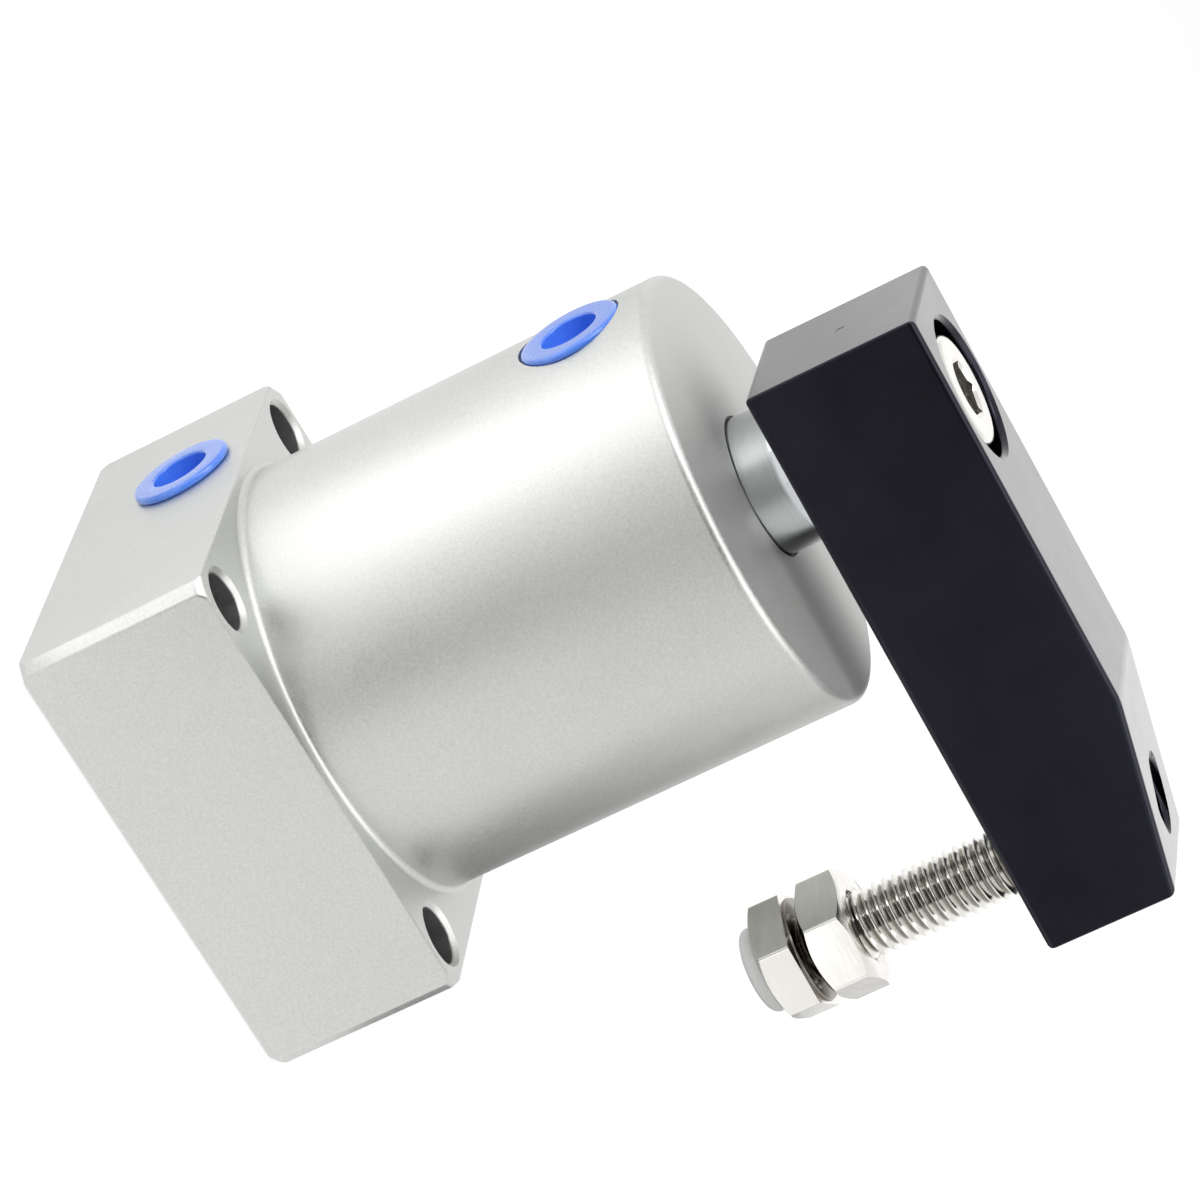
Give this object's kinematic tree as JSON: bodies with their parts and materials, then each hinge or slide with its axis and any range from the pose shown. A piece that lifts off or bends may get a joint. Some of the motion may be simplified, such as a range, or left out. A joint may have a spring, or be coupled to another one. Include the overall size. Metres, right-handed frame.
{
  "type": "swing clamp cylinder",
  "caption": "Pneumatic swing clamp: square-based round barrel whose polished rod rises and turns a black arm with an adjustable padded bolt.",
  "frame": {"origin": "centre of the block's rear face, at the middle of the four mounting holes", "axes": "+Z along the cylinder's axis towards the rod, +X along the block's side towards the arm at rest, ports on the -X side"},
  "size_m": [0.0865, 0.054, 0.0978],
  "materials": {
    "body_aluminium": "bead-blasted, clear anodised",
    "inner_aluminium": "turned",
    "rod_steel": "ground and hard-chromed",
    "plain_steel": "turned",
    "nickel_plate": "nickel plated",
    "arm_black": "satin black on steel",
    "seal_rubber": "matt",
    "bush_bronze": "turned",
    "plug_blue": "moulded, slightly waxy",
    "pad_white": "moulded nylon"
  },
  "bodies": {
    "cylinder": {"cylinder_body": "body_aluminium", "rear_cap": "inner_aluminium", "cap_o_ring": "seal_rubber", "snap_ring": "plain_steel", "cap_key": "plain_steel", "guide_spindle": "plain_steel", "spindle_screw": "nickel_plate", "rear_bumper": "seal_rubber", "front_bumper": "seal_rubber", "rod_bush": "bush_bronze", "rod_seal": "seal_rubber", "rod_wiper": "seal_rubber", "port_plug_rear": "plug_blue", "port_plug_front": "plug_blue"},
    "piston": {"piston": "inner_aluminium", "piston_seal_rear": "seal_rubber", "piston_seal_front": "seal_rubber", "wear_ring": "pad_white", "rod_o_ring": "seal_rubber"},
    "rod": {"piston_rod": "rod_steel", "piston_nut": "plain_steel", "drive_pins": "plain_steel", "clamp_arm": "arm_black", "arm_screw": "nickel_plate"},
    "bolt": {"clamp_bolt": "nickel_plate", "lock_nut": "nickel_plate", "bolt_pad": "pad_white"}
  },
  "joints": [
    {"name": "rod_stroke", "type": "slide", "parent": "cylinder", "child": "piston", "axis": [0, 0, 1], "range_m": [0, 0.024]},
    {"name": "arm_swing", "type": "hinge", "parent": "piston", "child": "rod", "pos_m": [0, 0, 0.05], "axis": [0, 0, 1], "range_deg": [0, 90]},
    {"name": "bolt_adjust", "type": "slide", "parent": "rod", "child": "bolt", "axis": [0, 0, 1], "range_m": [-0.003, 0.019]}
  ],
  "couplings": [
    {"joint": "arm_swing", "follows": "rod_stroke", "rad_per_m": 65.45}
  ]
}
